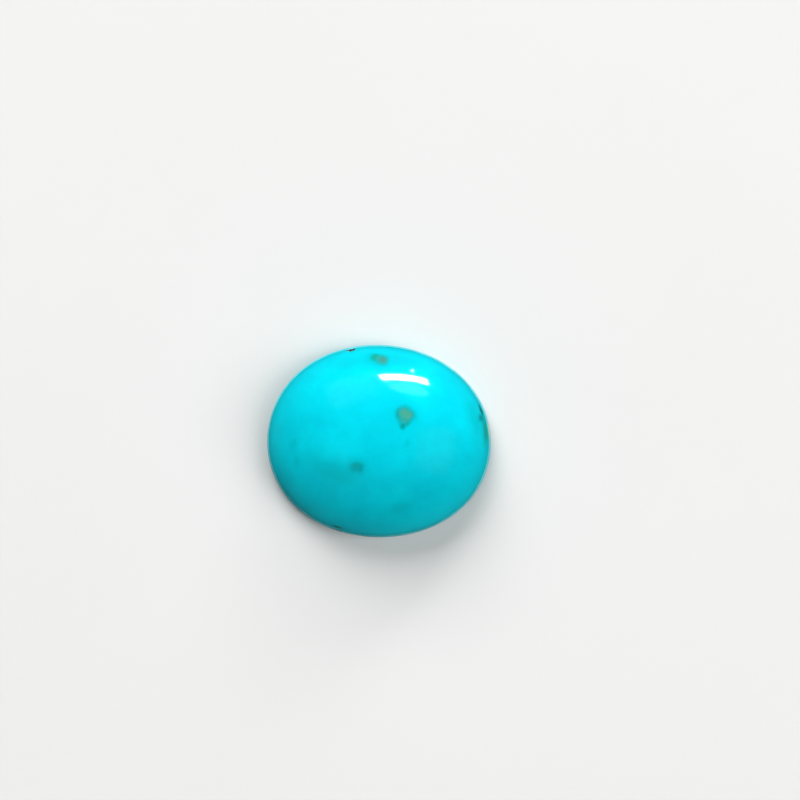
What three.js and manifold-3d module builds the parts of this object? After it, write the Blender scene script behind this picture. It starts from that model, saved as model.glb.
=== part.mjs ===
// A polished oval turquoise cabochon: one stone with a high domed face, a narrow girdle and
// a flat ground back. Millimetres, +Z up. The origin is the middle of the back, X runs along
// the oval's length, and the dome faces +Z.
import * as THREE from "three";
import { mergeVertices } from "three/addons/utils/BufferGeometryUtils.js";
import Module from "manifold-3d";

const wasm = await Module();
wasm.setup();

const { degToRad } = THREE.MathUtils;

// Driving dimensions
const LENGTH = 17.5; // the oval's long way, along X
const WIDTH = 15.05; // the oval's short way, along Y
const HEIGHT = 6.0; // from the back to the crown of the dome
const GIRDLE_HEIGHT = 1.0; // from the back to the line where the dome begins
const GIRDLE_LEAN = 0.1; // how far the girdle wall leans in from the chamfer up to that line
const BEVEL_RISE = 0.35; // the chamfer round the back: its height
const BEVEL_RUN = 0.45; // and its reach inwards
const DOME_START = degToRad(4); // the angle on its own ellipse at which the dome leaves the girdle

// How the hand-ground stone departs from a true oval
const SHOULDERS = 4; // places, one between each two ends of the oval, where the outline is fuller
const SHOULDER_SWELL = 0.0053; // the share by which it is fuller there
const LOBES = 3; // soft lobes that stand out besides
const LOBE_SWELL = 0.0032; // the share by which they stand out
const LOBE_TURN = degToRad(54); // where the lobes lie round the outline
const CROWN_SHIFT = new THREE.Vector2(0.22, 0.12); // how far the crown sits off the middle

// Small chips broken out of the rim: the angle round the stone from +X, the height of the
// middle above the back, and half the length along the rim, the depth and half the height
const RIM_CHIPS = [
  { turn: degToRad(106.5), height: 1.85, along: 0.34, deep: 0.2, tall: 0.42 },
  { turn: degToRad(250), height: 0.85, along: 0.48, deep: 0.18, tall: 0.34 },
];

// Fineness of the facets
const SIDES_AROUND = 96; // a multiple of 4, so that the four ends of the oval are corners
const DOME_HALF_STEPS = 12; // the dome's curve has twice as many steps
const CHIP_DETAIL = 1; // how often the faces of a chip's lump are split

const HALF_LENGTH = LENGTH / 2;
const GIRDLE_TOP_RADIUS = HALF_LENGTH - GIRDLE_LEAN;

// The ellipse that the dome follows, centred on the stone's axis
const domeEllipse = {
  reach: GIRDLE_TOP_RADIUS / Math.cos(DOME_START),
  rise: (HEIGHT - GIRDLE_HEIGHT) / (1 - Math.sin(DOME_START)),
};
domeEllipse.centre = HEIGHT - domeEllipse.rise;

// Half of the section along the length, from the middle of the back round to the crown.
function sectionPoints() {
  const { centre, reach, rise } = domeEllipse;
  const section = new THREE.Path();
  section.moveTo(0, 0);
  section.lineTo(HALF_LENGTH - BEVEL_RUN, 0);
  section.lineTo(HALF_LENGTH, BEVEL_RISE);
  section.lineTo(GIRDLE_TOP_RADIUS, GIRDLE_HEIGHT);
  section.absellipse(0, centre, reach, rise, DOME_START, Math.PI / 2, false);
  const points = section.getPoints(DOME_HALF_STEPS);
  points.at(-1).x = 0;
  return points;
}

// Moves a point of the turned, round blank to its place on the hand-ground oval.
function toOval(point) {
  const turn = Math.atan2(point.y, point.x);
  const lobes = LOBE_SWELL * Math.cos(LOBES * turn + LOBE_TURN);
  const swell = 1 - SHOULDER_SWELL * Math.cos(SHOULDERS * turn) + lobes;
  const climb = THREE.MathUtils.clamp((point.z - GIRDLE_HEIGHT) / (HEIGHT - GIRDLE_HEIGHT), 0, 1);
  point.x = point.x * swell + CROWN_SHIFT.x * climb ** 2;
  point.y = (point.y * swell * WIDTH) / LENGTH + CROWN_SHIFT.y * climb ** 2;
  return point;
}

// The radius of the round blank at a height above the back.
function blankRadius(height) {
  if (height > GIRDLE_HEIGHT) {
    return domeEllipse.reach * Math.sqrt(1 - ((height - domeEllipse.centre) / domeEllipse.rise) ** 2);
  }
  const share = (height - BEVEL_RISE) / (GIRDLE_HEIGHT - BEVEL_RISE);
  return HALF_LENGTH - GIRDLE_LEAN * share;
}

// A closed geometry with its shared corners merged, as a solid for cutting.
function asSolid(geometry) {
  const bare = geometry.clone();
  bare.deleteAttribute("normal");
  bare.deleteAttribute("uv");
  const merged = mergeVertices(bare);
  return new wasm.Manifold(
    new wasm.Mesh({
      numProp: 3,
      vertProperties: new Float32Array(merged.attributes.position.array),
      triVerts: new Uint32Array(merged.index.array),
    }),
  );
}

// A solid's faces as a geometry with flat-shaded normals.
function asGeometry(solid) {
  const mesh = solid.getMesh();
  const indexed = new THREE.BufferGeometry();
  indexed.setAttribute("position", new THREE.BufferAttribute(mesh.vertProperties, mesh.numProp));
  indexed.setIndex(new THREE.BufferAttribute(mesh.triVerts, 1));
  const faceted = indexed.toNonIndexed();
  faceted.computeVertexNormals();
  return faceted;
}

// The stone before it was chipped: the section turned round the axis and drawn out to the oval.
function groundStone() {
  const stone = new THREE.LatheGeometry(sectionPoints(), SIDES_AROUND);
  stone.rotateX(Math.PI / 2);
  const places = stone.attributes.position;
  const point = new THREE.Vector3();
  for (let i = 0; i < places.count; i++) {
    toOval(point.fromBufferAttribute(places, i));
    places.setXYZ(i, point.x, point.y, point.z);
  }
  return stone;
}

// Centres and stretches a geometry in X and Y, so that the oval about the origin measures
// exactly LENGTH by WIDTH.
function trueUp(stone, fit) {
  stone.translate(-fit.middle.x, -fit.middle.y, 0);
  stone.scale(fit.stretch.x, fit.stretch.y, 1);
  return stone;
}

// How far off centre the ground outline lies, and how much it must stretch to measure up.
function outlineFit(stone) {
  stone.computeBoundingBox();
  const size = stone.boundingBox.getSize(new THREE.Vector3());
  const middle = stone.boundingBox.getCenter(new THREE.Vector3());
  return { middle, stretch: new THREE.Vector2(LENGTH / size.x, WIDTH / size.y) };
}

// The rounded lump that one chip takes out, its middle on the stone's surface.
function chipCutter({ turn, height, along, deep, tall }) {
  const radius = blankRadius(height);
  const place = toOval(new THREE.Vector3(radius * Math.cos(turn), radius * Math.sin(turn), height));
  const outwards = Math.atan2(place.y * LENGTH ** 2, place.x * WIDTH ** 2);
  const lump = new THREE.IcosahedronGeometry(1, CHIP_DETAIL);
  lump.scale(deep, along, tall);
  lump.rotateZ(outwards);
  lump.translate(place.x, place.y, place.z);
  return lump;
}

const blank = groundStone();
const fit = outlineFit(blank);
let stone = asSolid(trueUp(blank, fit));
for (const chip of RIM_CHIPS) {
  stone = stone.subtract(asSolid(trueUp(chipCutter(chip), fit)));
}

const turquoise = new THREE.MeshStandardMaterial({ color: 0x00b9c9, roughness: 0.12, metalness: 0 });
const cabochon = new THREE.Mesh(asGeometry(stone), turquoise);
cabochon.name = "cabochon";

const part = new THREE.Group();
part.add(cabochon);

export default part;
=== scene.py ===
"""The looks of a polished oval turquoise cabochon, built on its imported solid.

Lengths are millimetres until a mesh is finished, when it is scaled to metres. X runs along the
oval's length, the dome faces +Z, and the origin is the middle of the flat back. Angles are
degrees, unless a name says radians.
"""
import logging
import math
import random
from dataclasses import dataclass, field
from enum import Enum

import bmesh
import bpy
from mathutils import Matrix, Vector, kdtree, noise

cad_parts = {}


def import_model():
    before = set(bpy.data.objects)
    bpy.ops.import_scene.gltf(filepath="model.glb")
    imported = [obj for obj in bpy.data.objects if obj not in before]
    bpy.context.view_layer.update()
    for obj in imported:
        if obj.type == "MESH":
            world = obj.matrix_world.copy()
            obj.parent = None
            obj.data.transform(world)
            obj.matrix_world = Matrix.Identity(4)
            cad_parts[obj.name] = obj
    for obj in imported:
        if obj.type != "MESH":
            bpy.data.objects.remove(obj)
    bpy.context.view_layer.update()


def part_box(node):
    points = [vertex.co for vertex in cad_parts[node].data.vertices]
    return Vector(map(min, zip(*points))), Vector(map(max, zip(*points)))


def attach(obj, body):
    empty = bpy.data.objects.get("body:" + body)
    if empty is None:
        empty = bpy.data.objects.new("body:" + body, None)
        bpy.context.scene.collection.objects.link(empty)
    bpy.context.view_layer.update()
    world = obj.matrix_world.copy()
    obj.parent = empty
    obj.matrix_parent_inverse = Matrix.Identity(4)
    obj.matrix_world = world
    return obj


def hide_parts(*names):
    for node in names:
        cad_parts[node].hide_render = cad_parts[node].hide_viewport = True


LOG = logging.getLogger("cabochon")
MM = 0.001  # metres in a millimetre
CHIP_LAYER = "chip"  # the mesh attribute that says how far a point lies inside a broken hollow
UP = Vector((0.0, 0.0, 1.0))
FULL_TURN = 360.0
MERGE_REACH = 1e-4  # points nearer to each other than this are one point
RING_REACH = 1e-3  # a point nearer to a ring than this lies on it
SLOPE_STEP = 0.01  # the step over which the dome's slope is measured
DOME_ROUNDS = 40  # the rounds in which the dome's height above a place settles
QUAD_CORNERS = 4
STRAIGHT_CORNER = math.radians(170.0)  # a corner wider than this counts as straight
NOISE_MIDDLE = 0.5  # what a noise texture is on average
WARP_OCTAVES = 2.0  # the finer octaves of the noise that shifts places about

Colour = tuple[float, float, float]
Place = tuple[float, float]
Levels = tuple[float, float]  # where something begins, and where it has become whole
Range = tuple[float, float]  # the least and the most of something that is drawn by lot
Warp = tuple[float, float]  # lumps to the millimetre, and how far they shift a place


def smooth_share(value: float, low: float, high: float) -> float:
    """Eases a value from 0 at low to 1 at high.

    Args:
        value: The number to ease.
        low: Where the result is still 0.
        high: Where the result has become 1.

    Returns:
        The eased share.
    """
    share = min(max((value - low) / (high - low), 0.0), 1.0)
    return share * share * (3.0 - 2.0 * share)


class Signal:
    """A shader socket that takes part in Python arithmetic. Each operator adds one Math node."""

    def __init__(self, recipe: "Recipe", socket: bpy.types.NodeSocket) -> None:
        """Wraps an output socket of a recipe's node."""
        self.recipe = recipe
        self.socket = socket

    def math(self, operation: str, first: "Value", second: "Value" = 0.0) -> "Signal":
        """Adds a Math node.

        Args:
            operation: The node's operation.
            first: Its first number or signal.
            second: Its second one.

        Returns:
            The node's result.
        """
        return self.recipe.node("ShaderNodeMath", {"operation": operation}, {0: first, 1: second})

    def __add__(self, other: "Value") -> "Signal":
        """Adds a number or signal."""
        return self.math("ADD", self, other)

    def __radd__(self, other: "Value") -> "Signal":
        """Adds this signal to a number."""
        return self.math("ADD", other, self)

    def __sub__(self, other: "Value") -> "Signal":
        """Takes a number or signal away."""
        return self.math("SUBTRACT", self, other)

    def __rsub__(self, other: "Value") -> "Signal":
        """Takes this signal away from a number."""
        return self.math("SUBTRACT", other, self)

    def __mul__(self, other: "Value") -> "Signal":
        """Multiplies by a number or signal."""
        return self.math("MULTIPLY", self, other)

    def __rmul__(self, other: "Value") -> "Signal":
        """Multiplies a number by this signal."""
        return self.math("MULTIPLY", other, self)

    def larger(self, other: "Value") -> "Signal":
        """The larger of this signal and another."""
        return self.math("MAXIMUM", self, other)


Value = float | Signal
Sockets = dict[int | str, object]


@dataclass(frozen=True)
class Grain:
    """A noise: its lumps to the millimetre, its finer octaves and the levels that it is eased between."""

    per_mm: float
    octaves: float
    levels: Levels | None = None


class Recipe:
    """The node tree of one material, filled node by node."""

    MIX_COLOUR_SOCKETS = (0, 6, 7, 2)  # a Mix node's factor, first and second colour, and its colour result

    def __init__(self, name: str) -> None:
        """Makes an empty material of that name."""
        self.material = bpy.data.materials.new(name)
        self.material.use_nodes = True
        self.tree = self.material.node_tree
        self.tree.nodes.clear()

    def node(
        self, kind: str, settings: dict[str, str], sockets: Sockets, output: int | str = 0
    ) -> Signal:
        """Adds a node.

        Args:
            kind: The node's type.
            settings: Its properties, which are set first.
            sockets: A number, colour or signal for each named or numbered input.
            output: Which of its outputs to give back.

        Returns:
            That output.
        """
        made = self.tree.nodes.new(kind)
        for name, value in settings.items():
            setattr(made, name, value)
        for key, value in sockets.items():
            if isinstance(value, Signal):
                self.tree.links.new(value.socket, made.inputs[key])
            else:
                made.inputs[key].default_value = value
        return Signal(self, made.outputs[output])

    def finished(self, shader: Signal) -> bpy.types.Material:
        """Shows a shader as the material's surface.

        Args:
            shader: The whole shader.

        Returns:
            The material.
        """
        surface = self.tree.nodes.new("ShaderNodeOutputMaterial").inputs["Surface"]
        self.tree.links.new(shader.socket, surface)
        return self.material

    def place(self) -> Signal:
        """Places on the piece, in millimetres."""
        metres = self.node("ShaderNodeTexCoord", {}, {}, "Object")
        return self.vector("SCALE", {0: metres, "Scale": 1.0 / MM})

    def ease(self, value: Signal, levels: Levels) -> Signal:
        """Eases a signal from 0 at the first level to 1 at the second."""
        sockets = {"Value": value, "From Min": levels[0], "From Max": levels[1]}
        return self.node("ShaderNodeMapRange", {"interpolation_type": "SMOOTHSTEP"}, sockets)

    def mix(self, share: Value, first: Colour | Signal, second: Colour | Signal) -> Signal:
        """Mixes two colours.

        Args:
            share: How much of the second colour shows.
            first: The colour where the share is 0.
            second: The colour where the share is 1.

        Returns:
            The mixed colour.
        """
        factor, a, b, result = self.MIX_COLOUR_SOCKETS
        sockets = {factor: share}
        for key, colour in ((a, first), (b, second)):
            sockets[key] = colour if isinstance(colour, Signal) else (*colour, 1.0)
        return self.node("ShaderNodeMix", {"data_type": "RGBA"}, sockets, result)

    def vector(self, operation: str, sockets: Sockets, output: int | str = 0) -> Signal:
        """Adds a Vector Math node.

        Args:
            operation: The node's operation.
            sockets: Its inputs by name or number.
            output: Which of its outputs to give back.

        Returns:
            That output.
        """
        return self.node("ShaderNodeVectorMath", {"operation": operation}, sockets, output)

    def grain(self, place: Signal, grain: Grain, output: str = "Fac") -> Signal:
        """Adds a noise texture.

        Args:
            place: Where on the piece, in millimetres.
            grain: What the noise is like.
            output: Fac for a number, Color for a vector.

        Returns:
            The noise, eased where the grain has levels.
        """
        sockets = {"Vector": place, "Scale": grain.per_mm, "Detail": grain.octaves}
        lumps = self.node("ShaderNodeTexNoise", {}, sockets, output)
        return self.ease(lumps, grain.levels) if grain.levels else lumps

    def warp(self, place: Signal, warps: tuple[Warp, ...]) -> Signal:
        """Shifts places about by noise.

        Args:
            place: The places, in millimetres.
            warps: The shifts, one after the other.

        Returns:
            The shifted places.
        """
        for per_mm, reach in warps:
            lumps = self.grain(place, Grain(per_mm, WARP_OCTAVES), "Color")
            centred = self.vector("SUBTRACT", {0: lumps, 1: (NOISE_MIDDLE,) * 3})
            place = self.vector("MULTIPLY_ADD", {0: centred, 1: (2.0 * reach,) * 3, 2: place})
        return place


class Mineral(Enum):
    """What a patch on the stone is, a mineral, a darker cloud or painted shade, with the colour of its
    heart and of its fringe.
    """

    OLIVE = ((0.06, 0.32, 0.25), (0.003, 0.33, 0.33))
    UMBER = ((0.045, 0.25, 0.215), (0.006, 0.36, 0.36))
    GREEN = ((0.008, 0.25, 0.165), (0.0, 0.36, 0.33))
    TEAL = ((0.0, 0.27, 0.28), (0.0, 0.40, 0.45))
    INK = ((0.0, 0.10, 0.10), (0.0, 0.27, 0.29))
    MOSS = ((0.01, 0.10, 0.065), (0.0, 0.30, 0.28))
    HOST_ROCK = ((0.55, 0.66, 0.40), (0.22, 0.62, 0.55))
    # Darker clouds and halos in the stone; its broad patches are painted shade
    DARK_CLOUD_AND_PAINTED_SHADE = ((0.0, 0.45, 0.52), (0.0, 0.49, 0.58))

    @property
    def heart(self) -> Colour:
        """The colour in the middle of the patch."""
        return self.value[0]

    @property
    def fringe(self) -> Colour:
        """The colour round the heart."""
        return self.value[1]


@dataclass(frozen=True)
class Patch:
    """A patch of another mineral that the dome cuts through, a darker cloud in the stone, or painted shade.

    It has a place in plan, half sizes, a turn from +X, and a strength that fades over its softness.
    """

    mineral: Mineral
    place: Place
    half_length: float
    half_width: float
    turn: float = 0.0
    strength: float = 1.0
    softness: float = 0.45
    half_depth: float = 0.6


@dataclass(frozen=True)
class Chip:
    """A chip broken out of the rim.

    It has an angle round the stone from +X, the height of its middle, and half its length along the
    rim, its depth and half its height.
    """

    turn: float
    height: float
    along: float
    deep: float
    tall: float

    @property
    def span(self) -> float:
        """The larger of its half sizes on the surface."""
        return max(self.along, self.tall)


@dataclass(frozen=True)
class Breakage:
    """How ragged broken hollows are: shares of their size, and lumps to their span."""

    lobe_share: float = 0.3
    lobes: float = 2.2
    tooth_share: float = 0.12
    teeth: float = 7.0
    floor_share: float = 0.22
    floor_lumps: float = 5.0
    reach: float = 2.0  # the spans from a hollow's middle within which points may lie inside it
    colour_depth: float = 0.35  # the share of its depth at which its colour is whole

    def outline(self, place: Vector, span: float) -> float:
        """How far in a hollow's ragged outline lies, as a share of a smooth one.

        Args:
            place: A point on the stone.
            span: The hollow's larger half size.

        Returns:
            The share, about 1.
        """
        lobes = self.lobe_share * noise.noise(place * self.lobes / span)
        teeth = self.tooth_share * noise.noise(place * self.teeth / span)
        return 1.0 + lobes + teeth

    def floor(self, place: Vector, span: float) -> float:
        """How deep a hollow's rough floor lies, as a share of a smooth one."""
        return 1.0 + self.floor_share * noise.noise(place * self.floor_lumps / span)


@dataclass
class Cabochon:
    """The stone: its sizes, its mesh and its place in the frame."""

    length: float
    width: float
    height: float

    # The section, from the chamfer round the back up to the angle where the dome leaves the girdle
    girdle_height: float = 1.0
    girdle_lean: float = 0.1
    bevel_rise: float = 0.35
    bevel_run: float = 0.45
    dome_start: float = 4.0

    # How the hand-ground stone departs from a true oval
    shoulders: int = 4
    shoulder_swell: float = 0.0053
    lobes: int = 3
    lobe_swell: float = 0.0032
    lobe_turn: float = 54.0
    crown_shift: Place = (0.22, 0.12)

    # The rounding of the back's edges, and the slight wave of the polish
    edge_round: float = 0.12
    edge_segments: int = 4
    polish_wave: float = 0.007
    polish_wave_length: float = 3.2
    wave_heights: Levels = (0.4, 1.4)

    # Fineness of the mesh, and how many spans round a chip each finer division reaches
    sides: int = 384
    dome_rows: int = 72
    bevel_rows: int = 3
    girdle_rows: int = 4
    back_border: float = 0.3
    refine_reaches: tuple[float, ...] = (2.4, 1.7, 1.4)

    # Chips broken out of the rim
    chips: list[Chip] = field(
        default_factory=lambda: [
            Chip(turn=106.5, height=1.85, along=0.34, deep=0.2, tall=0.42),
            Chip(turn=250.0, height=0.85, along=0.48, deep=0.18, tall=0.34),
        ]
    )
    breakage: Breakage = Breakage()

    # Small nicks round the back's edge: depth and height are shares of the length
    nick_count: int = 18
    nick_seed: int = 7
    nick_lengths: Range = (0.07, 0.2)
    nick_offsets: Range = (-0.08, 0.1)
    nick_depth: float = 0.35
    nick_tallness: Range = (0.5, 0.9)

    def __post_init__(self) -> None:
        """Works out the dome's ellipse, and how the oval is centred and stretched to measure up."""
        start = math.radians(self.dome_start)
        self.half_length = self.length / 2.0
        self.dome_reach = (self.half_length - self.girdle_lean) / math.cos(start)
        self.dome_rise = (self.height - self.girdle_height) / (1.0 - math.sin(start))
        self.dome_centre = self.height - self.dome_rise
        self.middle = Vector((0.0, 0.0))
        self.stretch = Vector((1.0, 1.0))
        turns = [FULL_TURN * i / self.sides for i in range(self.sides)]
        outline = [self.to_oval(self.on_blank(turn, self.bevel_rise)) for turn in turns]
        spans = [(min(p[axis] for p in outline), max(p[axis] for p in outline)) for axis in range(2)]
        sizes = (self.length, self.width)
        self.middle = Vector([(low + high) / 2.0 for low, high in spans])
        self.stretch = Vector([size / (high - low) for size, (low, high) in zip(sizes, spans)])

    def blank_radius(self, height: float) -> float:
        """Finds how wide the round blank is, above its chamfer.

        Args:
            height: The height above the back.

        Returns:
            The blank's radius there.
        """
        if height > self.girdle_height:
            rise = (height - self.dome_centre) / self.dome_rise
            return self.dome_reach * math.sqrt(max(1.0 - rise**2, 0.0))
        climb = (height - self.bevel_rise) / (self.girdle_height - self.bevel_rise)
        return self.half_length - self.girdle_lean * climb

    def on_blank(self, turn: float, height: float) -> Vector:
        """The point of the round blank at an angle from +X and a height above the back."""
        radius, angle = self.blank_radius(height), math.radians(turn)
        return Vector((radius * math.cos(angle), radius * math.sin(angle), height))

    def swell(self, turn: float) -> float:
        """How full the ground outline is at an angle, in radians, compared with a true oval."""
        lobes = self.lobe_swell * math.cos(self.lobes * turn + math.radians(self.lobe_turn))
        return 1.0 - self.shoulder_swell * math.cos(self.shoulders * turn) + lobes

    def crown_lean(self, height: float) -> Vector:
        """How far the crown's offset carries a point at that height."""
        climb = min(max((height - self.girdle_height) / (self.height - self.girdle_height), 0.0), 1.0)
        return Vector(self.crown_shift) * climb**2

    def to_oval(self, point: Vector) -> Vector:
        """Moves a point of the round blank to its place on the hand-ground oval.

        Args:
            point: A point on the turned blank.

        Returns:
            Its place on the stone.
        """
        swell = self.swell(math.atan2(point.y, point.x))
        lean = self.crown_lean(point.z)
        x = point.x * swell + lean.x
        y = point.y * swell * self.width / self.length + lean.y
        return Vector(((x - self.middle.x) * self.stretch.x, (y - self.middle.y) * self.stretch.y, point.z))

    def on_dome(self, place: Place) -> Vector:
        """Finds the point of the dome above a place in plan.

        Args:
            place: X and Y in millimetres.

        Returns:
            The point on the polished face.
        """
        height = self.height
        for _ in range(DOME_ROUNDS):
            lean = self.crown_lean(height)
            x = place[0] / self.stretch.x + self.middle.x - lean.x
            y = (place[1] / self.stretch.y + self.middle.y - lean.y) * self.length / self.width
            radius = math.hypot(x, y) / self.swell(math.atan2(y, x))
            share = min(radius / self.dome_reach, 1.0)
            height = self.dome_centre + self.dome_rise * math.sqrt(1.0 - share**2)
        return Vector((place[0], place[1], max(height, self.girdle_height)))

    def dome_axes(self, place: Place, turn: float) -> Matrix:
        """The directions along, across and out of the dome at a place in plan.

        Args:
            place: X and Y in millimetres.
            turn: The angle from +X, seen from above, that the first direction follows.

        Returns:
            A rotation whose columns are those directions.
        """
        x, y = place
        east = self.on_dome((x + SLOPE_STEP, y)) - self.on_dome((x - SLOPE_STEP, y))
        north = self.on_dome((x, y + SLOPE_STEP)) - self.on_dome((x, y - SLOPE_STEP))
        out = east.cross(north).normalized()
        heading = Vector((math.cos(math.radians(turn)), math.sin(math.radians(turn)), 0.0))
        along = (heading - out * heading.dot(out)).normalized()
        return Matrix((along, out.cross(along), out)).transposed()

    def build(self) -> bpy.types.Object:
        """Makes the stone's mesh.

        Returns:
            The finished piece, in metres.
        """
        bm = self.turned_blank()
        self.round_back_edges(bm)
        chips = self.chips + self.edge_nicks()
        self.refine(bm, chips)
        for vert in bm.verts:
            vert.co = self.to_oval(vert.co)
        self.wave(bm)
        layer = bm.verts.layers.float.new(CHIP_LAYER)
        for chip in chips:
            self.break_out(bm, layer, chip)
        self.split_uneven(bm)
        bmesh.ops.recalc_face_normals(bm, faces=bm.faces)
        bmesh.ops.scale(bm, vec=(MM, MM, MM), verts=bm.verts)
        mesh = bpy.data.meshes.new("polished_stone")
        bm.to_mesh(mesh)
        bm.free()
        mesh.shade_smooth()
        stone = bpy.data.objects.new("polished_stone", mesh)
        bpy.context.scene.collection.objects.link(stone)
        return stone

    def dress(self, stone: bpy.types.Object, finish: "TurquoiseFinish") -> None:
        """Gives the piece its finish and its place in the frame.

        Args:
            stone: The finished piece.
            finish: What it is finished in.
        """
        stone.data.materials.append(finish.material(self))
        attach(stone, "root")
        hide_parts("cabochon")

    def turned_blank(self) -> bmesh.types.BMesh:
        """Spins half the section round Z.

        Returns:
            The closed round blank.
        """
        bm = bmesh.new()
        edge = self.half_length - self.bevel_run
        corners = [
            bm.verts.new((0.0, 0.0, 0.0)),
            bm.verts.new((edge - self.back_border, 0.0, 0.0)),
            bm.verts.new((edge, 0.0, 0.0)),
            bm.verts.new((self.half_length, 0.0, self.bevel_rise)),
        ]
        start = math.radians(self.dome_start)
        foot = bm.verts.new((math.cos(start), 0.0, math.sin(start)))
        bmesh.ops.spin(
            bm, geom=[foot], axis=(0.0, -1.0, 0.0), angle=math.pi / 2.0 - start, steps=self.dome_rows
        )
        arc = [vert for vert in bm.verts if vert not in corners]
        to_dome = Matrix.Translation((0.0, 0.0, self.dome_centre)) @ Matrix.Diagonal(
            (self.dome_reach, 1.0, self.dome_rise, 1.0)
        )
        bmesh.ops.transform(bm, matrix=to_dome, verts=arc)
        max(arc, key=lambda vert: vert.co.z).co.x = 0.0
        for lower, upper in zip(corners, corners[1:]):
            bm.edges.new((lower, upper))
        wall = bm.edges.new((corners[-1], foot))
        chamfer = next(e for e in bm.edges if set(e.verts) == set(corners[2:]))
        bmesh.ops.subdivide_edges(bm, edges=[wall], cuts=self.girdle_rows - 1)
        bmesh.ops.subdivide_edges(bm, edges=[chamfer], cuts=self.bevel_rows - 1)
        bmesh.ops.spin(
            bm,
            geom=bm.verts[:] + bm.edges[:],
            axis=UP,
            angle=2.0 * math.pi,
            steps=self.sides,
            use_merge=True,
        )
        bmesh.ops.remove_doubles(bm, verts=bm.verts, dist=MERGE_REACH)
        bmesh.ops.recalc_face_normals(bm, faces=bm.faces)
        return bm

    def round_back_edges(self, bm: bmesh.types.BMesh) -> None:
        """Rounds the two rings where the chamfer meets the back and the girdle.

        Args:
            bm: The blank.
        """
        rings = (
            (self.half_length - self.bevel_run, 0.0),
            (self.half_length, self.bevel_rise),
        )

        def on_ring(edge: bmesh.types.BMEdge) -> bool:
            """Whether an edge runs along one of the rings."""
            return any(
                all(math.hypot(v.co.xy.length - radius, v.co.z - height) < RING_REACH for v in edge.verts)
                for radius, height in rings
            )

        bmesh.ops.bevel(
            bm,
            geom=[edge for edge in bm.edges if on_ring(edge)],
            offset=self.edge_round,
            affect="EDGES",
            segments=self.edge_segments,
            profile=0.5,
            material=-1,
        )

    def edge_nicks(self) -> list[Chip]:
        """Draws the small nicks that handling has left round the back's edge.

        Returns:
            The nicks, as small chips.
        """
        draw = random.Random(self.nick_seed)
        nicks = []
        for _ in range(self.nick_count):
            turn = draw.uniform(0.0, FULL_TURN)
            along = draw.uniform(*self.nick_lengths)
            height = self.bevel_rise + draw.uniform(*self.nick_offsets)
            tall = along * draw.uniform(*self.nick_tallness)
            nicks.append(Chip(turn, height, along, along * self.nick_depth, tall))
        return nicks

    def refine(self, bm: bmesh.types.BMesh, chips: list[Chip]) -> None:
        """Divides the blank's faces round the chips and sets the new points on the section.

        Args:
            bm: The blank, before it is drawn out to the oval.
            chips: The chips that the finer faces are for.
        """
        tree = kdtree.KDTree(len(chips))
        for index, chip in enumerate(chips):
            tree.insert(self.on_blank(chip.turn, chip.height), index)
        tree.balance()
        for reach in self.refine_reaches:
            near = set()
            for vert in bm.verts:
                _, index, distance = tree.find(vert.co)
                if distance < reach * chips[index].span:
                    near.add(vert)
            edges = [edge for edge in bm.edges if near.issuperset(edge.verts)]
            made = bmesh.ops.subdivide_edges(bm, edges=edges, cuts=1, use_grid_fill=True)
            for vert in made["geom_inner"]:
                if isinstance(vert, bmesh.types.BMVert) and vert.co.z > self.bevel_rise + self.edge_round:
                    vert.co.xy = vert.co.xy.normalized() * self.blank_radius(vert.co.z)

    def wave(self, bm: bmesh.types.BMesh) -> None:
        """Leaves the polished face very slightly wavy, as hand polishing does.

        Args:
            bm: The stone's mesh.
        """
        bm.normal_update()
        moves = []
        for vert in bm.verts:
            lump = noise.noise(vert.co / self.polish_wave_length)
            share = smooth_share(vert.co.z, *self.wave_heights)
            moves.append(vert.normal * lump * self.polish_wave * share)
        for vert, move in zip(bm.verts, moves):
            vert.co += move

    def break_out(self, bm: bmesh.types.BMesh, layer: bmesh.types.BMLayerItem, chip: Chip) -> None:
        """Presses the points inside a chip's lump back to its hollow.

        Args:
            bm: The stone's mesh.
            layer: The layer that keeps how deep inside a hollow each point lies.
            chip: The chip.
        """
        middle = self.to_oval(self.on_blank(chip.turn, chip.height))
        out = Vector((middle.x * self.width**2, middle.y * self.length**2, 0.0)).normalized()
        along = UP.cross(out)
        breakage = self.breakage
        for vert in bm.verts:
            away = vert.co - middle
            if away.length > breakage.reach * chip.span:
                continue
            ragged = breakage.outline(vert.co, chip.span)
            flat = math.hypot(away.dot(along) / chip.along, away.z / chip.tall) * ragged
            if flat >= 1.0:
                continue
            rough = breakage.floor(vert.co, chip.span)
            press = chip.deep * rough * math.sqrt(1.0 - flat**2) + away.dot(out)
            if press > 0.0:
                vert.co -= out * press
                inside = smooth_share(press, 0.0, breakage.colour_depth * chip.deep)
                vert[layer] = max(vert[layer], inside)

    def split_uneven(self, bm: bmesh.types.BMesh) -> None:
        """Cuts the faces at the border of a refined place into well-shaped triangles.

        Args:
            bm: The stone's mesh.
        """

        def uneven(face: bmesh.types.BMFace) -> bool:
            """Whether a face has more than four corners, or one that is nearly straight."""
            straight = any(loop.calc_angle() > STRAIGHT_CORNER for loop in face.loops)
            return straight or len(face.verts) > QUAD_CORNERS

        faces = [face for face in bm.faces if uneven(face)]
        bmesh.ops.triangulate(bm, faces=faces, quad_method="BEAUTY", ngon_method="BEAUTY")


@dataclass(frozen=True)
class Layout:
    """The signals that the layers of the finish share."""

    place: Signal  # places on the stone
    ragged: Signal  # the same places, shifted about for the matrix
    worn: Signal  # the same places, shifted about for the girdle's worn edges
    height: Signal  # the worn places' height above the back
    grit: Signal  # the finest noise
    chipped: Signal  # how far inside a broken hollow a place lies


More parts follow.
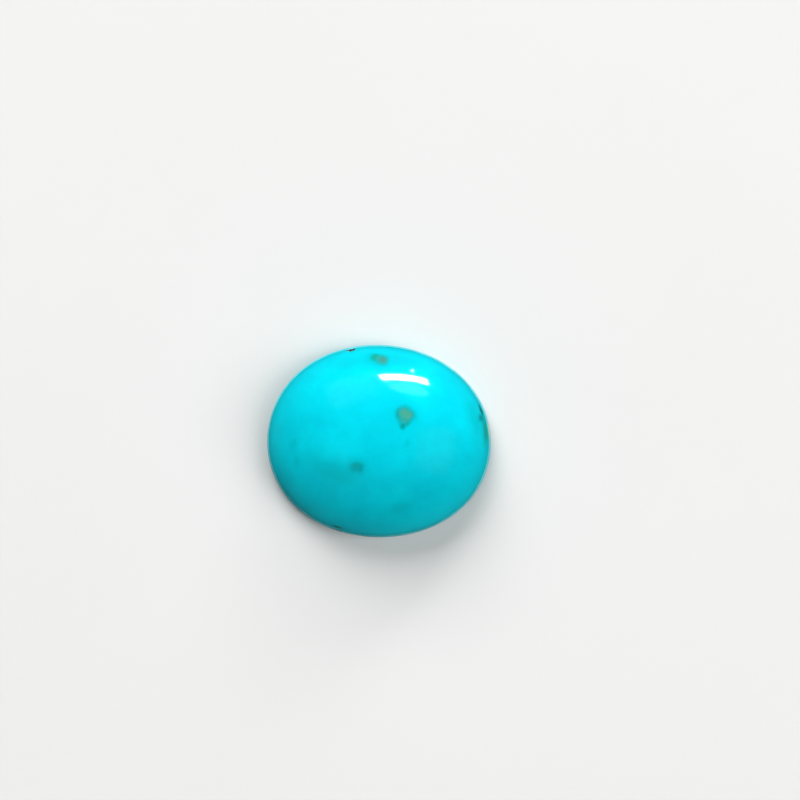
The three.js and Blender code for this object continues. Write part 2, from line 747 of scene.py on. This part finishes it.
@dataclass(frozen=True)
class TurquoiseFinish:
    """The stone's finish: clouded turquoise, specks of matrix, a high polish and a ground back."""

    # The body's colours, and how clouds, mottle and grit share them out
    deep: Colour = (0.0, 0.54, 0.665)
    pale: Colour = (0.0, 0.66, 0.775)
    # Painted shade: the colour that the body darkens to towards the rim
    rim: Colour = (0.0, 0.46, 0.50)
    clouds: Grain = Grain(0.27, 3.0, (0.3, 0.7))
    mottle: Grain = Grain(1.4, 4.0)
    grit: Grain = Grain(11.0, 3.0)
    cloud_share: float = 0.7
    mottle_share: float = 0.3
    rim_shade_share: float = 0.1
    rim_shade_mottle: float = 0.5
    base_tone: float = 0.93
    # Painted shade: how much the body darkens from the crown down to the rim
    crown_shade_tone: float = 0.1
    mottle_tone: float = 0.08
    grit_tone: float = 0.06

    # Heights above the back between which one zone gives way to the next
    back_edge: Levels = (0.25, 0.5)
    lip_edge: Levels = (0.82, 1.22)
    girdle_edge: Levels = (1.3, 1.54)
    rim_shade_edge: Levels = (1.42, 2.8)
    crown_edge: Levels = (1.42, 6.0)
    ragged_warps: tuple[Warp, ...] = ((0.9, 0.24), (4.5, 0.08))
    worn_warps: tuple[Warp, ...] = ((0.6, 0.1), (5.0, 0.04))

    # The pale bloom on the unpolished girdle, strongest along its upper lip
    chalk: Colour = (0.24, 0.78, 0.83)
    wear: Grain = Grain(0.8, 4.0, (0.3, 0.7))
    girdle_chalk: float = 0.15
    lip_chalk: float = 0.2
    worn_chalk: float = 0.5
    chalk_cover: float = 0.8
    chalk_grit: float = 0.4

    # Matrix in the polished face
    fleck: Colour = (0.02, 0.33, 0.18)
    flecks: Grain = Grain(2.6, 2.0, (0.5, 0.66))
    fleck_share: float = 0.45
    heart_edge: Levels = (0.25, 0.95)
    patch_grit: float = 0.2

    # Veins of matrix in the ground back
    vein: Colour = (0.10, 0.075, 0.04)
    vein_spread: Grain = Grain(0.22, 2.0, (0.45, 0.62))
    vein_cells_per_mm: float = 0.3
    vein_edge: Levels = (0.03, 0.11)

    # Broken stone inside the chips, near-black along each hollow: partly the broken stone's colour, partly
    # painted shade in the hollow
    # Near-black: partly the broken stone's colour, partly painted shade in the hollow
    broken: Colour = (0.012, 0.03, 0.03)
    broken_and_shade_edge: Levels = (0.0, 0.5)
    crumb: Colour = (0.30, 0.25, 0.22)
    crumbs: Grain = Grain(5.0, 3.0, (0.42, 0.6))
    crumb_edge: Levels = (0.85, 1.0)

    # Gloss, and the light that the stone lets in
    refraction: float = 1.5
    polish_roughness: float = 0.06
    smears: Grain = Grain(0.7, 3.0, (0.4, 0.75))
    smear_roughness: float = 0.04
    matrix_roughness: float = 0.12
    grit_roughness: float = 0.02
    ground_roughness: float = 0.45
    ground_grit: float = 0.2
    ground_shine: float = 0.15
    glow_share: float = 0.15
    glow_reach: float = 0.8
    glow_tint: Colour = (0.1, 0.6, 0.7)

    # Fine relief, in shares of the bump's height
    bump_height: float = 0.02
    bump_strength: float = 0.5
    grinding: Grain = Grain(1.0, 3.0)
    grinding_radians: float = 0.6
    grinding_stretch: tuple[float, float, float] = (0.5, 9.0, 1.0)
    grinding_relief: float = 0.6
    break_lumps: Grain = Grain(6.0, 4.0)
    break_relief: float = 1.5
    matrix_relief: float = 0.12
    dimples: Grain = Grain(0.8, 1.0)
    dimple_relief: float = 0.25

    # Patches: painted shade at the lower left, the top rim and the right rim, then darker clouds, halos and
    # specks of matrix
    patches: tuple[Patch, ...] = (
        # Painted shade: the lower left, the top rim and the right rim, darker than the lamps leave them
        Patch(Mineral.DARK_CLOUD_AND_PAINTED_SHADE, (-3.4, -2.5), 2.6, 1.1, turn=-15.0, strength=0.55, softness=0.8),
        Patch(Mineral.DARK_CLOUD_AND_PAINTED_SHADE, (-2.5, 5.9), 1.3, 0.8, turn=20.0, strength=0.4, softness=0.8),
        Patch(Mineral.DARK_CLOUD_AND_PAINTED_SHADE, (0.6, 6.3), 3.4, 1.0, strength=0.5, softness=0.8),
        Patch(Mineral.DARK_CLOUD_AND_PAINTED_SHADE, (7.3, 2.2), 1.9, 0.8, turn=107.0, strength=0.6, softness=0.8),
        # Faint darker marks, a cloud and halos round the specks, in the stone's own colour
        Patch(Mineral.DARK_CLOUD_AND_PAINTED_SHADE, (-6.6, -0.5), 0.7, 0.5, turn=70.0, strength=0.35, softness=0.8),
        Patch(Mineral.DARK_CLOUD_AND_PAINTED_SHADE, (-6.25, -1.86), 0.6, 0.45, turn=60.0, strength=0.35, softness=0.8),
        Patch(Mineral.DARK_CLOUD_AND_PAINTED_SHADE, (2.24, -0.12), 0.5, 0.35, turn=60.0, strength=0.35, softness=0.8),
        Patch(Mineral.DARK_CLOUD_AND_PAINTED_SHADE, (1.91, -5.06), 1.1, 0.7, turn=10.0, strength=0.4, softness=0.8),
        Patch(Mineral.DARK_CLOUD_AND_PAINTED_SHADE, (1.95, 1.9), 1.2, 1.1, strength=0.5, softness=0.7),
        # Halo round the second speck, which also paints shade along the top rim
        Patch(Mineral.DARK_CLOUD_AND_PAINTED_SHADE, (-0.45, 6.3), 1.2, 1.0, strength=0.8, softness=0.7),
        Patch(Mineral.TEAL, (1.35, 2.05), 0.32, 0.2, turn=85.0, strength=0.8),
        Patch(Mineral.OLIVE, (1.88, 1.76), 0.6, 0.54, turn=80.0),
        Patch(Mineral.OLIVE, (1.98, 2.1), 0.76, 0.58),
        Patch(Mineral.GREEN, (2.1, 1.38), 0.26, 0.2, strength=0.4),
        Patch(Mineral.TEAL, (1.82, 1.2), 0.3, 0.26, turn=85.0),
        Patch(Mineral.GREEN, (-0.44, 6.4), 0.42, 0.52),
        Patch(Mineral.UMBER, (-0.02, 6.26), 0.52, 0.62),
        Patch(Mineral.TEAL, (-1.64, -2.0), 0.74, 0.62, strength=0.55, softness=0.7),
        Patch(Mineral.TEAL, (-1.25, -2.13), 0.5, 0.24, turn=86.0, strength=0.4, softness=0.7),
        Patch(Mineral.INK, (7.8, 2.72), 0.48, 0.26, turn=112.0, strength=0.9),
        Patch(Mineral.INK, (7.84, 2.1), 0.36, 0.5, turn=110.0, strength=0.6, softness=0.6),
        Patch(Mineral.GREEN, (8.22, 1.1), 1.2, 0.6, turn=98.0, strength=0.6, softness=0.7),
        Patch(Mineral.MOSS, (-2.92, -6.78), 0.55, 0.2, turn=-20.0, strength=0.9),
        Patch(Mineral.HOST_ROCK, (8.62, 1.1), 1.1, 0.3, turn=97.0, half_depth=0.35),
    )

    def material(self, stone: Cabochon) -> bpy.types.Material:
        """Makes the material.

        Args:
            stone: The stone that the patches lie on.

        Returns:
            The finished material.
        """
        recipe = Recipe("turquoise")
        layout = self.layout(recipe)
        girdle = 1.0 - recipe.ease(layout.height, self.girdle_edge)
        satin = girdle.larger(layout.chipped)
        colour = self.body(recipe, layout)
        colour = self.with_chalk(recipe, layout, colour, girdle)
        colour, matrix = self.with_patches(recipe, layout, colour, stone)
        colour = self.with_veins(recipe, layout, colour)
        colour = self.with_breaks(recipe, layout, colour)
        surface = {
            "Base Color": colour,
            "Normal": self.relief(recipe, layout, satin, matrix),
            "IOR": self.refraction,
        }
        polished = self.polished(recipe, layout, surface, matrix)
        ground = self.ground(recipe, layout, surface)
        return recipe.finished(recipe.node("ShaderNodeMixShader", {}, {0: satin, 1: polished, 2: ground}))

    def layout(self, recipe: Recipe) -> Layout:
        """Makes the signals that the layers share.

        Args:
            recipe: The material in the making.

        Returns:
            The signals.
        """
        place = recipe.place()
        worn = recipe.warp(place, self.worn_warps)
        return Layout(
            place=place,
            ragged=recipe.warp(place, self.ragged_warps),
            worn=worn,
            height=recipe.node("ShaderNodeSeparateXYZ", {}, {0: worn}, "Z"),
            grit=recipe.grain(place, self.grit),
            chipped=recipe.node("ShaderNodeAttribute", {"attribute_name": CHIP_LAYER}, {}, "Fac"),
        )

    def body(self, recipe: Recipe, layout: Layout) -> Signal:
        """Makes the clouded body colour, with painted shade: darker and greener towards the rim, lighter
        towards the crown.

        Args:
            recipe: The material in the making.
            layout: The signals that the layers share.

        Returns:
            The colour.
        """
        clouds = recipe.grain(layout.place, self.clouds)
        mottle = recipe.grain(layout.ragged, self.mottle)
        share = clouds * self.cloud_share + mottle * self.mottle_share
        colour = recipe.mix(share, self.deep, self.pale)
        # Painted shade: darker and greener towards the rim, broken up by the mottle
        edge = 1.0 - recipe.ease(layout.height, self.rim_shade_edge)
        colour = recipe.mix(edge * (self.rim_shade_share + self.rim_shade_mottle * mottle), colour, self.rim)
        # Painted shade: lighter towards the crown, darker towards the rim
        crown = recipe.ease(layout.height, self.crown_edge)
        tone = self.base_tone - self.crown_shade_tone + self.crown_shade_tone * crown
        tone = tone + self.mottle_tone * mottle + self.grit_tone * layout.grit
        return recipe.vector("SCALE", {0: colour, "Scale": tone})

    def with_chalk(self, recipe: Recipe, layout: Layout, colour: Signal, girdle: Signal) -> Signal:
        """Lays the girdle's pale bloom over a colour.

        Args:
            recipe: The material in the making.
            layout: The signals that the layers share.
            colour: The colour below it.
            girdle: Where the girdle is.

        Returns:
            The new colour.
        """
        wear = recipe.grain(layout.worn, self.wear)
        lip = recipe.ease(layout.height, self.lip_edge) * girdle
        chalky = self.girdle_chalk * girdle + lip * (self.lip_chalk + self.worn_chalk * wear)
        cover = self.chalk_cover + self.chalk_grit * layout.grit
        return recipe.mix(chalky * cover, colour, self.chalk)

    def with_patches(
        self, recipe: Recipe, layout: Layout, colour: Signal, stone: Cabochon
    ) -> tuple[Signal, Signal]:
        """Lays the patches of matrix, the darker clouds and the painted shade over a colour.

        Args:
            recipe: The material in the making.
            layout: The signals that the layers share.
            colour: The colour below them.
            stone: The stone that they lie on.

        Returns:
            The new colour, and how much matrix there is.
        """
        matrix = None
        for patch in self.patches:
            near = recipe.node(
                "ShaderNodeMapping",
                {"vector_type": "TEXTURE"},
                {
                    "Vector": layout.ragged,
                    "Location": stone.on_dome(patch.place),
                    "Rotation": stone.dome_axes(patch.place, patch.turn).to_euler(),
                    "Scale": (patch.half_length, patch.half_width, patch.half_depth),
                },
            )
            far = recipe.vector("LENGTH", {0: near}, "Value")
            far = far + (layout.grit - NOISE_MIDDLE) * self.patch_grit
            fringe_edge = (1.0 - patch.softness, 1.0 + patch.softness)
            fringe = (1.0 - recipe.ease(far, fringe_edge)) * patch.strength
            heart = (1.0 - recipe.ease(far, self.heart_edge)) * patch.strength
            colour = recipe.mix(fringe, colour, patch.mineral.fringe)
            colour = recipe.mix(heart, colour, patch.mineral.heart)
            # Painted shade and darker clouds are not matrix
            if patch.mineral is not Mineral.DARK_CLOUD_AND_PAINTED_SHADE:
                matrix = heart if matrix is None else matrix.larger(heart)
        flecks = recipe.grain(layout.ragged, self.flecks)
        return recipe.mix(matrix * flecks * self.fleck_share, colour, self.fleck), matrix

    def with_veins(self, recipe: Recipe, layout: Layout, colour: Signal) -> Signal:
        """Lays the veins of the ground back over a colour.

        Args:
            recipe: The material in the making.
            layout: The signals that the layers share.
            colour: The colour below them.

        Returns:
            The new colour.
        """
        crack = recipe.node(
            "ShaderNodeTexVoronoi",
            {"feature": "DISTANCE_TO_EDGE"},
            {"Vector": layout.ragged, "Scale": self.vein_cells_per_mm},
            "Distance",
        )
        back = 1.0 - recipe.ease(layout.height, self.back_edge)
        spread = recipe.grain(layout.place, self.vein_spread)
        veins = (1.0 - recipe.ease(crack, self.vein_edge)) * spread
        return recipe.mix(veins * back, colour, self.vein)

    def with_breaks(self, recipe: Recipe, layout: Layout, colour: Signal) -> Signal:
        """Lays the broken stone of the chips over a colour, near-black where each hollow begins: partly its
        own colour, partly painted shade.

        Args:
            recipe: The material in the making.
            layout: The signals that the layers share.
            colour: The colour below it.

        Returns:
            The new colour.
        """
        # Near-black in the hollows: partly the broken stone's colour, partly painted shade
        colour = recipe.mix(recipe.ease(layout.chipped, self.broken_and_shade_edge), colour, self.broken)
        crumbs = recipe.grain(layout.place, self.crumbs)
        return recipe.mix(recipe.ease(layout.chipped, self.crumb_edge) * crumbs, colour, self.crumb)

    def relief(self, recipe: Recipe, layout: Layout, satin: Signal, matrix: Signal) -> Signal:
        """Makes the finest relief: grinding marks, crumbly breaks and matrix polished a little low.

        Args:
            recipe: The material in the making.
            layout: The signals that the layers share.
            satin: Where the stone is ground and not polished.
            matrix: Where the patches are.

        Returns:
            The normal of the bumped surface.
        """
        marks = recipe.node(
            "ShaderNodeMapping",
            {"vector_type": "POINT"},
            {
                "Vector": layout.place,
                "Rotation": (0.0, 0.0, self.grinding_radians),
                "Scale": self.grinding_stretch,
            },
        )
        grinding = recipe.grain(marks, self.grinding)
        lumps = recipe.grain(layout.place, self.break_lumps)
        dimples = recipe.grain(layout.place, self.dimples)
        height = satin * grinding * self.grinding_relief + layout.chipped * lumps * self.break_relief
        height = height - matrix * self.matrix_relief + dimples * self.dimple_relief
        sockets = {"Strength": self.bump_strength, "Distance": self.bump_height * MM, "Height": height}
        return recipe.node("ShaderNodeBump", {}, sockets)

    def polished(self, recipe: Recipe, layout: Layout, surface: Sockets, matrix: Signal) -> Signal:
        """Makes the shader of the polished face, which lets a little light in.

        Args:
            recipe: The material in the making.
            layout: The signals that the layers share.
            surface: The sockets that both shaders share.
            matrix: Where the patches are, which take the polish less well.

        Returns:
            The shader.
        """
        smears = recipe.grain(layout.place, self.smears)
        roughness = self.polish_roughness + self.smear_roughness * smears
        roughness = roughness + self.matrix_roughness * matrix + self.grit_roughness * layout.grit
        glow = {
            "Subsurface Weight": self.glow_share,
            "Subsurface Radius": self.glow_tint,
            "Subsurface Scale": self.glow_reach * MM,
        }
        return recipe.node("ShaderNodeBsdfPrincipled", {}, {**surface, **glow, "Roughness": roughness})

    def ground(self, recipe: Recipe, layout: Layout, surface: Sockets) -> Signal:
        """Makes the shader of the ground girdle and back and of the broken chips.

        Args:
            recipe: The material in the making.
            layout: The signals that the layers share.
            surface: The sockets that both shaders share.

        Returns:
            The shader.
        """
        roughness = self.ground_roughness + self.ground_grit * layout.grit
        dull = {"Specular IOR Level": self.ground_shine, "Roughness": roughness}
        return recipe.node("ShaderNodeBsdfPrincipled", {}, {**surface, **dull})


@dataclass(frozen=True)
class FloorFinish:
    """A pale matt floor with the least variation in tone."""

    light: Colour = (0.74, 0.74, 0.735)
    dark: Colour = (0.71, 0.71, 0.705)
    clouds: Grain = Grain(0.03, 3.0)
    roughness: float = 0.9

    def material(self) -> bpy.types.Material:
        """Makes the material.

        Returns:
            The finished material.
        """
        recipe = Recipe("pale_floor")
        clouds = recipe.grain(recipe.place(), self.clouds)
        sockets = {"Base Color": recipe.mix(clouds, self.dark, self.light), "Roughness": self.roughness}
        return recipe.finished(recipe.node("ShaderNodeBsdfPrincipled", {}, sockets))


class PanelShape(Enum):
    """The outline of a lamp's panel, as Blender names it."""

    STRIP = "RECTANGLE"
    OVAL = "ELLIPSE"


class LampRole(Enum):
    """What a lamp lights: the body's colour or its gloss."""

    BODY = "body"
    GLOSS = "gloss"


@dataclass
class Lamp:
    """A soft panel: the direction it hangs in, seen from the stone, its size, strength and role.

    The heading turns from +Y towards +X, the spread is the panel's width and height in degrees as
    the stone sees it, and the distance is in metres.
    """

    name: str
    heading: float
    elevation: float
    spread: tuple[float, float]
    radiance: float
    role: LampRole
    shape: PanelShape = PanelShape.STRIP
    roll: float = 0.0
    distance: float = 1.0

    def hang(self, target: Vector) -> bpy.types.Object:
        """Makes the lamp and points it at the stone.

        Args:
            target: The point that it faces, in metres.

        Returns:
            The lamp.
        """
        heading, elevation = math.radians(self.heading), math.radians(self.elevation)
        away = Vector(
            (
                math.sin(heading) * math.cos(elevation),
                math.cos(heading) * math.cos(elevation),
                math.sin(elevation),
            )
        )
        wide, tall = (2.0 * self.distance * math.tan(math.radians(size) / 2.0) for size in self.spread)
        panel = bpy.data.lights.new(self.name, "AREA")
        panel.shape = self.shape.value
        panel.size = wide
        panel.size_y = tall
        panel.energy = self.radiance * wide * tall * math.pi
        lamp = bpy.data.objects.new(self.name, panel)
        right = away.cross(UP).normalized()
        axes = Matrix((right, away.cross(right), away)).transposed().to_4x4()
        turned = axes @ Matrix.Rotation(math.radians(self.roll), 4, "Z")
        lamp.matrix_world = Matrix.Translation(target + away * self.distance) @ turned
        lamp.visible_camera = False
        lamp.visible_diffuse = self.role is LampRole.BODY
        lamp.visible_glossy = self.role is LampRole.GLOSS
        bpy.context.scene.collection.objects.link(lamp)
        return lamp


@dataclass
class Studio:
    """The floor, the lamps and the dim room round the stone."""

    floor_radius: float = 2.0
    floor_sides: int = 96
    room_light: float = 0.03
    room_tone: float = 0.8
    lamps: list[Lamp] = field(
        default_factory=lambda: [
            Lamp("window_gloss", 14.2, 19.2, (31.0, 8.6), 44.0, LampRole.GLOSS, roll=24.8),
            Lamp("window_light", 14.2, 19.2, (31.0, 8.6), 18.0, LampRole.BODY, roll=24.8),
            Lamp("glow_wide", 20.0, 33.0, (27.0, 13.0), 0.8, LampRole.GLOSS, PanelShape.OVAL, roll=20.0),
            Lamp("glow", 20.0, 33.0, (20.0, 9.0), 0.8, LampRole.GLOSS, PanelShape.OVAL, roll=20.0),
            Lamp("glow_narrow", 20.0, 33.0, (13.0, 5.0), 0.8, LampRole.GLOSS, PanelShape.OVAL, roll=20.0),
            Lamp("small_lamp", 16.4, 4.5, (2.0, 8.5), 10.0, LampRole.GLOSS, PanelShape.OVAL),
            Lamp("left_sky", -25.0, 35.0, (35.0, 35.0), 8.5, LampRole.BODY),
            Lamp("right_fill", 100.0, 45.0, (40.0, 40.0), 4.8, LampRole.BODY),
            Lamp("front_fill", 225.0, 45.0, (40.0, 40.0), 0.6, LampRole.BODY),
        ]
    )

    def build(self, target: Vector) -> bpy.types.Object:
        """Makes the floor, the room and the lamps.

        Args:
            target: The point that the lamps face, in metres.

        Returns:
            The floor.
        """
        bm = bmesh.new()
        bmesh.ops.create_circle(bm, cap_ends=True, radius=self.floor_radius, segments=self.floor_sides)
        mesh = bpy.data.meshes.new("floor")
        bm.to_mesh(mesh)
        bm.free()
        floor = bpy.data.objects.new("floor", mesh)
        mesh.materials.append(FloorFinish().material())
        floor.visible_glossy = False
        bpy.context.scene.collection.objects.link(floor)
        self.light_room()
        for lamp in self.lamps:
            lamp.hang(target)
        return floor

    def light_room(self) -> None:
        """Makes a room that looks pale behind the floor and hardly lights the stone."""
        room = bpy.data.worlds.new("dim_room")
        room.use_nodes = True
        tree = room.node_tree
        glow = tree.nodes["Background"]
        path = tree.nodes.new("ShaderNodeLightPath")
        strength = tree.nodes.new("ShaderNodeMapRange")
        strength.inputs["To Min"].default_value = self.room_light
        strength.inputs["To Max"].default_value = self.room_tone
        tree.links.new(path.outputs["Is Camera Ray"], strength.inputs["Value"])
        tree.links.new(strength.outputs["Result"], glow.inputs["Strength"])
        glow.inputs["Color"].default_value = (1.0, 1.0, 1.0, 1.0)
        bpy.context.scene.world = room


@dataclass
class PortraitCamera:
    """The photograph's camera: nearly straight down, the stone a little left of and below the middle.

    The scale holds at the plane height above the back, and the nearest and farthest seen are metres.
    """

    elevation: float = 89.0
    azimuth: float = 2.4
    lens: float = 110.0
    sensor: float = 36.0
    frame_pixels: float = 800.0
    stone_pixels: Place = (379.0, 441.0)
    pixels_per_mm: float = 12.8
    plane_height: float = 0.6
    nearest: float = 0.005
    farthest: float = 20.0

    def build(self) -> bpy.types.Object:
        """Makes the camera and sets it as the scene's.

        Returns:
            The camera.
        """
        azimuth, elevation = math.radians(self.azimuth), math.radians(self.elevation)
        back = Vector(
            (
                math.sin(azimuth) * math.cos(elevation),
                -math.cos(azimuth) * math.cos(elevation),
                math.sin(elevation),
            )
        )
        right = Vector((math.cos(azimuth), math.sin(azimuth), 0.0))
        up = back.cross(right)
        centre = self.frame_pixels / 2.0
        aside = (centre - self.stone_pixels[0]) / self.pixels_per_mm
        above = (self.stone_pixels[1] - centre) / self.pixels_per_mm
        aim = Vector((0.0, 0.0, self.plane_height)) + right * aside + up * above
        distance = self.frame_pixels / self.pixels_per_mm * self.lens / self.sensor
        data = bpy.data.cameras.new("portrait_camera")
        data.lens = self.lens
        data.sensor_width = self.sensor
        data.clip_start = self.nearest
        data.clip_end = self.farthest
        camera = bpy.data.objects.new("portrait_camera", data)
        axes = Matrix((right, up, back)).transposed().to_4x4()
        camera.matrix_world = Matrix.Translation((aim + back * distance) * MM) @ axes
        bpy.context.scene.collection.objects.link(camera)
        bpy.context.scene.camera = camera
        return camera


def main() -> None:
    """Builds the stone and its studio."""
    logging.basicConfig(level=logging.INFO, format="%(name)s: %(message)s")
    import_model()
    bpy.context.scene.view_settings.view_transform = "Standard"
    low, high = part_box("cabochon")
    length, width, height = ((b - a) / MM for a, b in zip(low, high))
    cabochon = Cabochon(length, width, height)
    stone = cabochon.build()
    cabochon.dress(stone, TurquoiseFinish())
    LOG.info("%s: %d faces", stone.name, len(stone.data.polygons))
    floor = Studio().build(Vector((0.0, 0.0, height * MM / 2.0)))
    LOG.info("%s: stage", floor.name)
    camera = PortraitCamera().build()
    LOG.info("%s: %.0f mm lens", camera.name, camera.data.lens)


if __name__ == "__main__":
    main()
